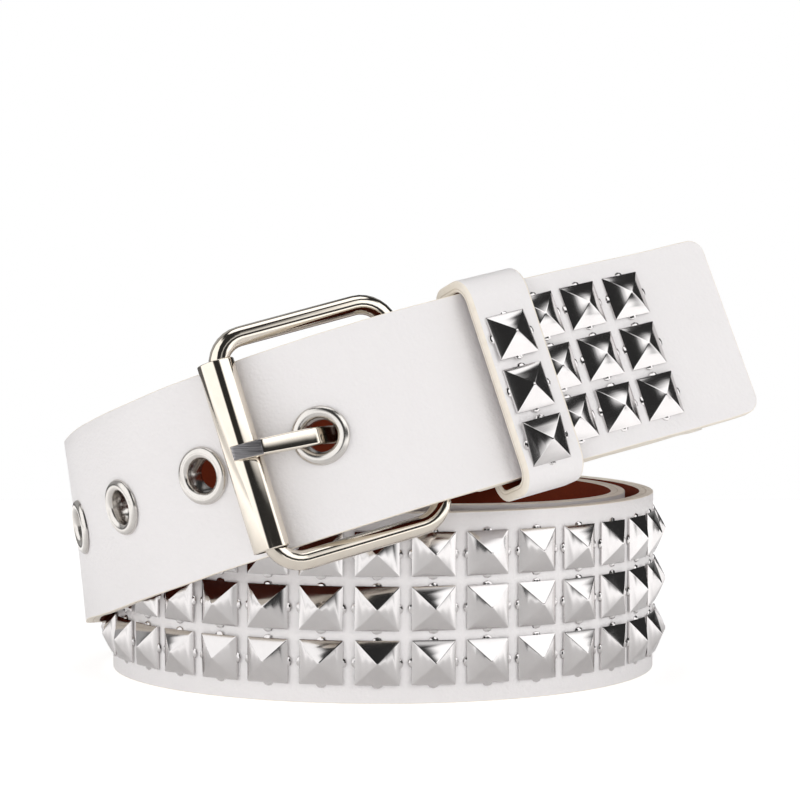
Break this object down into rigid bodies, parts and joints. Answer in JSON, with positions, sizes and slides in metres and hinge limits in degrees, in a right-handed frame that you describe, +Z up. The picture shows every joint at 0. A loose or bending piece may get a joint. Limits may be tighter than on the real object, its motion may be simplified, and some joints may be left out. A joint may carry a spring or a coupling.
{
  "type": "studded belt",
  "caption": "White leather belt with rows of chrome pyramid studs, chrome eyelets, a roller buckle and a keeper loop, buckled and wound up in a standing coil.",
  "frame": {"origin": "on the table under the middle of the belt's box", "axes": "+Z up from the table, -Y toward the side with the buckle, +X toward the belt's tip"},
  "size_m": [0.1456, 0.1426, 0.0917],
  "materials": {
    "white_leather": "smooth white coated leather with a slight grain, cream edges and a brown lining",
    "chrome": "polished chrome",
    "nickel": "polished warm nickel"
  },
  "bodies": {
    "belt": {"strap": "white_leather", "eyelet_1": "chrome", "eyelet_2": "chrome", "eyelet_3": "chrome", "eyelet_4": "chrome", "tip_stud_1_1": "chrome", "tip_stud_1_2": "chrome", "tip_stud_1_3": "chrome", "tip_stud_2_1": "chrome", "tip_stud_2_2": "chrome", "tip_stud_2_3": "chrome", "tip_stud_3_1": "chrome", "tip_stud_3_2": "chrome", "tip_stud_3_3": "chrome", "keeper": "white_leather", "keeper_stud_1": "chrome", "keeper_stud_2": "chrome", "keeper_stud_3": "chrome", "buckle_frame": "nickel", "prong": "nickel"},
    "roller": {"roller": "nickel"}
  },
  "joints": [
    {"name": "roller_spin", "type": "hinge", "parent": "belt", "child": "roller", "pos_m": [-0.03041, -0.06515, 0.05017], "axis": [-0.295, 0.1332, 0.9462], "continuous": true}
  ]
}
